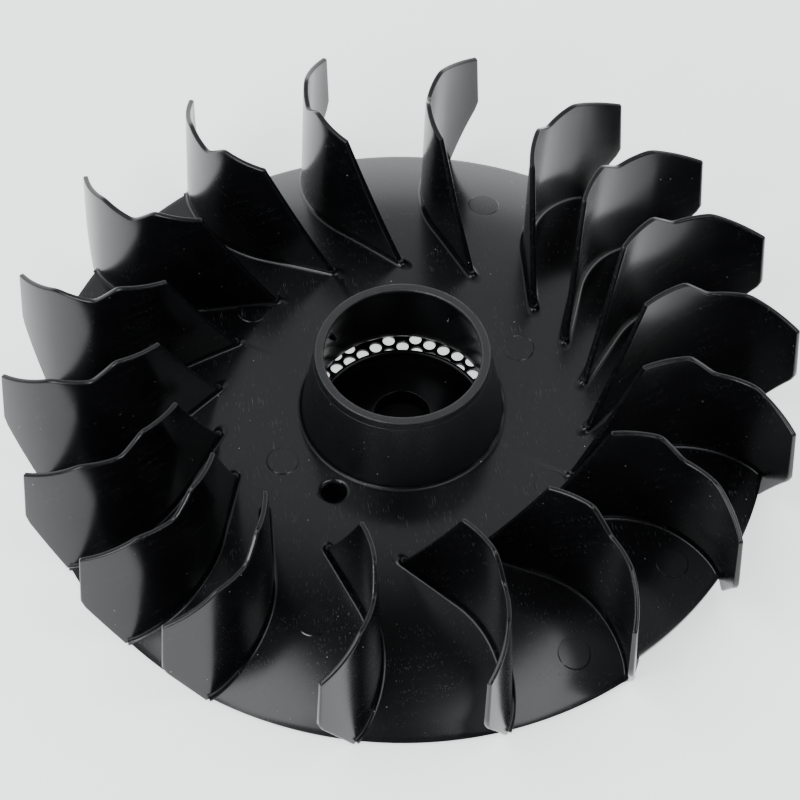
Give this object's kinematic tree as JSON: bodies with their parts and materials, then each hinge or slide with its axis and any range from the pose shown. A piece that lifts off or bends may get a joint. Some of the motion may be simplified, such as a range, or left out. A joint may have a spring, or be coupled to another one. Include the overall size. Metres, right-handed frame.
{
  "type": "blower motor wheel",
  "caption": "Open centrifugal blower wheel: tall curved blades on a dished round plate, a tapered hub collar and a perforated strainer round a domed hub with a recess.",
  "frame": {"origin": "on the wheel's axis, in the plane of the rim's underside that it rests on", "axes": "+Z along the axis, from the rest plane towards the open ends of the blades; +X towards the right of the picture's view"},
  "size_m": [0.2496, 0.2456, 0.0601],
  "materials": {
    "plate_plastic": "black moulded plastic, satin, with fine scratches and dust",
    "blade_plastic": "black moulded plastic, satin to glossy, with fine scratches and dust",
    "collar_plastic": "black moulded plastic with a fine grain",
    "hub_plastic": "smooth black moulded plastic"
  },
  "bodies": {
    "root": {"backplate": "plate_plastic", "hub_collar": "collar_plastic", "strainer_ring": "hub_plastic", "hub_cup": "hub_plastic", "shaft_boss": "hub_plastic", "blade_01": "blade_plastic", "blade_02": "blade_plastic", "blade_03": "blade_plastic", "blade_04": "blade_plastic", "blade_05": "blade_plastic", "blade_06": "blade_plastic", "blade_07": "blade_plastic", "blade_08": "blade_plastic", "blade_09": "blade_plastic", "blade_10": "blade_plastic", "blade_11": "blade_plastic", "blade_12": "blade_plastic", "blade_13": "blade_plastic", "blade_14": "blade_plastic", "blade_15": "blade_plastic", "blade_16": "blade_plastic", "blade_17": "blade_plastic", "blade_18": "blade_plastic"}
  },
  "joints": []
}
